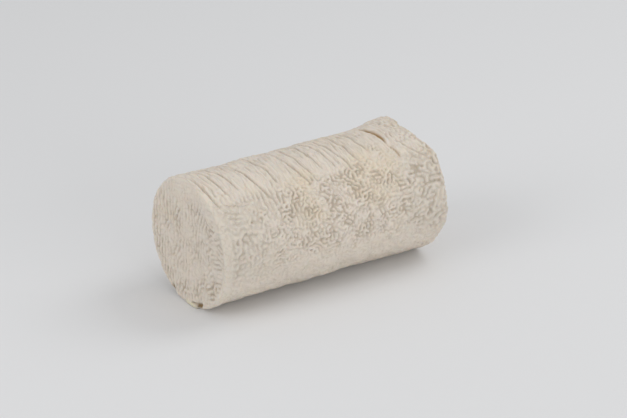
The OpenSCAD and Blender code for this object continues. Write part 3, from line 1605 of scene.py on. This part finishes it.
@dataclass(frozen=True)
class RindFinish:
    """The finish of the bloomy rind: painted highlights on the ridges, painted shade in the grooves
    and a fine matt bloom.

    A pair that ends in marks is a range of a mark or a pattern, and the pair that ends in
    share beside it is how much of a colour shows at its two ends.
    """

    name: str = "wrinkled_rind"
    ridge: Colour = (0.728, 0.652, 0.568)
    ripe_ridge: Colour = (0.720, 0.630, 0.510)
    # Painted highlight, laid on the ridge tops.
    pale: Colour = (0.785, 0.720, 0.625)
    # Painted shade, darker and a little browner, laid into the grooves, creases and hair-thin
    # lines.
    groove: Colour = (0.49, 0.415, 0.325)
    dull: Colour = (0.675, 0.608, 0.53)
    dull_ends: Colour = (0.61, 0.55, 0.475)
    stain: Colour = (0.40, 0.235, 0.085)
    crust: Colour = (0.24, 0.16, 0.08)
    flake: Colour = (0.74, 0.68, 0.53)

    patch_pattern: Pair = (90.0, 3.0)
    patch_marks: Pair = (0.42, 0.66)
    patch_share: Pair = (0.0, 0.5)
    ends_marks: Pair = (0.0, 1.0)
    ends_share: Pair = (0.0, 0.8)
    highlight_marks: Pair = (0.05, 0.3)
    highlight_share: Pair = (0.34, 0.0)
    groove_shade_marks: Pair = (0.45, 0.95)
    groove_shade_share: Pair = (0.0, 0.76)
    line_shade_marks: Pair = (0.0, 1.0)
    line_shade_share: Pair = (0.0, 0.26)
    stain_marks: Pair = (0.1, 0.9)
    stain_share: Pair = (0.0, 0.9)

    line_half: float = 0.04
    winding_scale: float = 430.0
    winding_stretch: tuple[float, float, float] = (1.0, 1.0, 1.0)
    round_scale: float = 620.0
    round_stretch: tuple[float, float, float] = (1.0, 0.2, 0.2)

    sharp_marks: Pair = (0.45, 0.85)
    sharp_height: Pair = (1.0, 0.0)
    sharp_depth: float = 0.12 * MM
    line_depth: float = 0.10 * MM
    bloom_pattern: tuple[float, float, float] = (1300.0, 4.0, 0.6)
    bloom_height: float = 0.15 * MM

    matt_pattern: Pair = (600.0, 2.0)
    matt_marks: Pair = (0.3, 0.7)
    matt_roughness: Pair = (0.78, 0.92)
    shine: float = 0.25
    softness: float = 0.25
    soft_reach: tuple[float, float, float] = (1.0, 0.6, 0.35)
    soft_depth: float = 0.4 * MM

    def make(self) -> bpy.types.Material:
        """Makes the material.

        Returns:
            The rind's material.
        """
        bench = ShaderBench(self.name)
        shader = bench.shader
        hairlines = self.hairlines(bench)
        bench.join(self.colour(bench, hairlines), shader.inputs["Base Color"])
        matt = bench.spread(
            bench.mottle(*self.matt_pattern), self.matt_marks, self.matt_roughness
        )
        bench.join(matt, shader.inputs["Roughness"])
        bench.join(self.fine_relief(bench, hairlines), shader.inputs["Normal"])
        shader.inputs["Specular IOR Level"].default_value = self.shine
        shader.inputs["Subsurface Weight"].default_value = self.softness
        shader.inputs["Subsurface Radius"].default_value = self.soft_reach
        shader.inputs["Subsurface Scale"].default_value = self.soft_depth
        return bench.material

    def hairlines(self, bench: ShaderBench) -> bpy.types.NodeSocket:
        """The hair-thin wrinkles, which run round the log in the band across its top, bumped in and
        darkened with painted shade.

        Args:
            bench: The material's bench.

        Returns:
            The output, 1 along a line and 0 beside it.
        """
        winding = bench.lines(self.winding_stretch, self.winding_scale, self.line_half)
        round_log = bench.lines(self.round_stretch, self.round_scale, self.line_half)
        return bench.blend(winding, round_log, bench.mark(Mark.BAND))

    def colour(
        self, bench: ShaderBench, hairlines: bpy.types.NodeSocket
    ) -> bpy.types.NodeSocket:
        """Lays the rind's colours, the painted ridge highlights and the painted groove shade over
        each other.

        Args:
            bench: The material's bench.
            hairlines: The hair-thin wrinkles.

        Returns:
            The colour.
        """
        colour = bench.tint(self.ridge, self.ripe_ridge, bench.mark(Mark.RIPE))
        patches = bench.spread(
            bench.mottle(*self.patch_pattern), self.patch_marks, self.patch_share
        )
        colour = bench.tint(colour, self.dull, patches)
        ends = bench.spread(bench.mark(Mark.DULL), self.ends_marks, self.ends_share)
        colour = bench.tint(colour, self.dull_ends, ends)
        # Painted highlight on the ridge tops, where the groove mark is low.
        ridge_highlight = bench.spread(bench.mark(Mark.GROOVE), self.highlight_marks, self.highlight_share)
        colour = bench.tint(colour, self.pale, ridge_highlight)
        # Painted shade in the grooves and creases, by the groove mark.
        grooves = bench.spread(bench.mark(Mark.GROOVE), self.groove_shade_marks, self.groove_shade_share)
        colour = bench.tint(colour, self.groove, grooves)
        # Painted shade along the hair-thin lines.
        lines = bench.spread(hairlines, self.line_shade_marks, self.line_shade_share)
        colour = bench.tint(colour, self.groove, lines)
        stains = bench.spread(bench.mark(Mark.STAIN), self.stain_marks, self.stain_share)
        colour = bench.tint(colour, self.stain, stains)
        colour = bench.tint(colour, self.flake, bench.mark(Mark.FLAKE))
        return bench.tint(colour, self.crust, bench.mark(Mark.CRUST))

    def fine_relief(
        self, bench: ShaderBench, hairlines: bpy.types.NodeSocket
    ) -> bpy.types.NodeSocket:
        """The sharp floors of the grooves, the hair-thin wrinkles and the bloom over them.

        Args:
            bench: The material's bench.
            hairlines: The hair-thin wrinkles.

        Returns:
            The normal.
        """
        sharp = bench.spread(bench.mark(Mark.GROOVE), self.sharp_marks, self.sharp_height)
        normal = bench.bump(sharp, self.sharp_depth)
        normal = bench.bump(hairlines, self.line_depth, below=normal, invert=True)
        bloom = bench.mottle(*self.bloom_pattern)
        return bench.bump(bloom, self.bloom_height, below=normal)


@dataclass(frozen=True)
class FloorFinish:
    """The finish of the plain pale floor."""

    name: str = "pale_floor"
    colour: Colour = (0.78, 0.78, 0.785)
    roughness: float = 0.9
    shine: float = 0.1

    def make(self) -> bpy.types.Material:
        """Makes the material.

        Returns:
            The floor's material.
        """
        bench = ShaderBench(self.name)
        bench.shader.inputs["Base Color"].default_value = (*self.colour, 1.0)
        bench.shader.inputs["Roughness"].default_value = self.roughness
        bench.shader.inputs["Specular IOR Level"].default_value = self.shine
        return bench.material


@dataclass(frozen=True)
class Lamp:
    """One square soft lamp. Its place and side are in metres, and its power is in watts."""

    name: str
    place: tuple[float, float, float]
    side: float
    power: float

    def build(self, aim: Vector) -> bpy.types.Object:
        """Makes the lamp.

        Args:
            aim: The point that it faces.

        Returns:
            The lamp.
        """
        deselect_all()
        bpy.ops.object.light_add(type="AREA", location=self.place)
        lamp = bpy.context.active_object
        lamp.name = self.name
        toward = aim - Vector(self.place)
        lamp.rotation_euler = toward.to_track_quat("-Z", "Y").to_euler()
        lamp.data.shape = "SQUARE"
        lamp.data.size = self.side
        lamp.data.energy = self.power
        return lamp


@dataclass
class Studio:
    """The floor, three soft lamps, the pale surround and the camera. Lengths are in metres."""

    floor_side: float = 8.0
    floor_drop: float = 0.02 * MM
    lamps: tuple[Lamp, ...] = (
        Lamp("key_lamp", place=(0.52, -0.10, 0.70), side=0.5, power=1.6),
        Lamp("end_lamp", place=(-0.72, -0.06, 0.44), side=0.5, power=1.55),
        Lamp("front_lamp", place=(0.1, -1.1, 0.12), side=0.9, power=4.9),
    )
    surround: float = 0.585
    surround_colour: Colour = (0.985, 0.995, 1.005)
    azimuth: float = -34.04
    elevation: float = 24.22
    distance: float = 1.3566
    sensor_width: float = 36.0
    lens: float = 210.5
    shift_right: float = 0.0205
    shift_up: float = 0.0044
    nearest: float = 0.05
    furthest: float = 20.0
    aim: tuple[float, float, float] = (0.0, AXIS_SIDE, AXIS_HEIGHT)

    def build(self) -> None:
        """Makes the floor, the light and the camera, and reports each."""
        self.floor()
        LOG.info("studio: floor")
        for lamp in self.lamps:
            lamp.build(Vector(self.aim))
            LOG.info("studio: %s", lamp.name)
        self.light_surround()
        self.camera()
        LOG.info("studio: surround and camera")
        bpy.context.scene.view_settings.view_transform = "Standard"

    def floor(self) -> bpy.types.Object:
        """Makes the floor.

        Returns:
            The floor.
        """
        deselect_all()
        low = (0.0, 0.0, -self.floor_drop)
        bpy.ops.mesh.primitive_plane_add(size=self.floor_side, location=low)
        floor = bpy.context.active_object
        floor.name = "floor"
        floor.data.materials.append(FloorFinish().make())
        return floor

    def light_surround(self) -> None:
        """Makes the even pale surround."""
        world = bpy.data.worlds.new("surround")
        world.use_nodes = True
        background = world.node_tree.nodes["Background"]
        background.inputs["Color"].default_value = (*self.surround_colour, 1.0)
        background.inputs["Strength"].default_value = self.surround
        bpy.context.scene.world = world

    def camera(self) -> bpy.types.Object:
        """Makes the camera, which looks down at the log from its front and near end.

        Returns:
            The camera.
        """
        turn = math.radians(self.azimuth)
        rise = math.radians(self.elevation)
        level = math.cos(rise)
        back = Vector((math.sin(turn) * level, -math.cos(turn) * level, math.sin(rise)))
        deselect_all()
        bpy.ops.object.camera_add(location=Vector(self.aim) + back * self.distance)
        camera = bpy.context.active_object
        camera.name = "camera"
        camera.rotation_euler = (-back).to_track_quat("-Z", "Y").to_euler()
        camera.data.sensor_width = self.sensor_width
        camera.data.lens = self.lens
        camera.data.shift_x = self.shift_right
        camera.data.shift_y = self.shift_up
        camera.data.clip_start = self.nearest
        camera.data.clip_end = self.furthest
        bpy.context.scene.camera = camera
        return camera


def main() -> None:
    """Builds the studio, the log and its finish in order, and reports each."""
    logging.basicConfig(level=logging.INFO, format="%(message)s")
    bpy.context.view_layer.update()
    Studio().build()
    log = CheeseLog()
    piece = log.build()
    finish = RindFinish()
    piece.data.materials.append(finish.make())
    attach(piece, "root")
    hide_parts(log.node)
    LOG.info("%s: %d faces, finish %s", piece.name, len(piece.data.polygons), finish.name)


if __name__ == "__main__":
    main()
